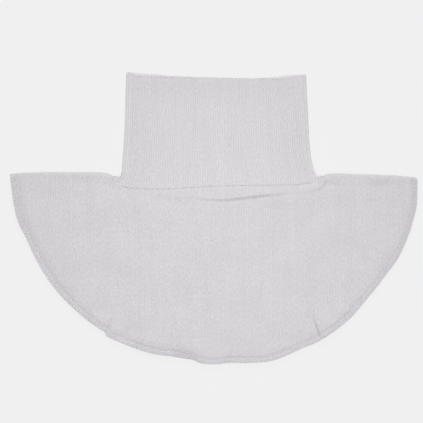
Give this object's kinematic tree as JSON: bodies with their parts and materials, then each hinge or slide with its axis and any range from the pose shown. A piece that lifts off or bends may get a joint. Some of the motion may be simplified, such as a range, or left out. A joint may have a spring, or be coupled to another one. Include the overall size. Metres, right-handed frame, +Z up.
{
  "type": "neck warmer",
  "caption": "Pull-on knitted neck warmer lying flat: a doubled rib-knit collar tube sewn to a round shoulder cape with an overlocked hem.",
  "frame": {"origin": "middle of the outline from above, on the surface that the neck warmer lies on", "axes": "+X across the shoulders towards the right of the picture, +Y up the neck towards the collar's mouth, +Z up out of the surface, from the back layer to the front"},
  "size_m": [0.4486, 0.322, 0.0144],
  "materials": {
    "rib_knit_collar": "soft matt white rib knit, folded double, fine vertical ribs",
    "rib_knit_cape": "soft matt white rib knit, one layer, fine vertical ribs",
    "overlock_thread": "white overlock threads over the knit's cut edge"
  },
  "bodies": {
    "root": {"collar": "rib_knit_collar", "cape": "rib_knit_cape", "hem_edging": "overlock_thread"}
  },
  "joints": []
}
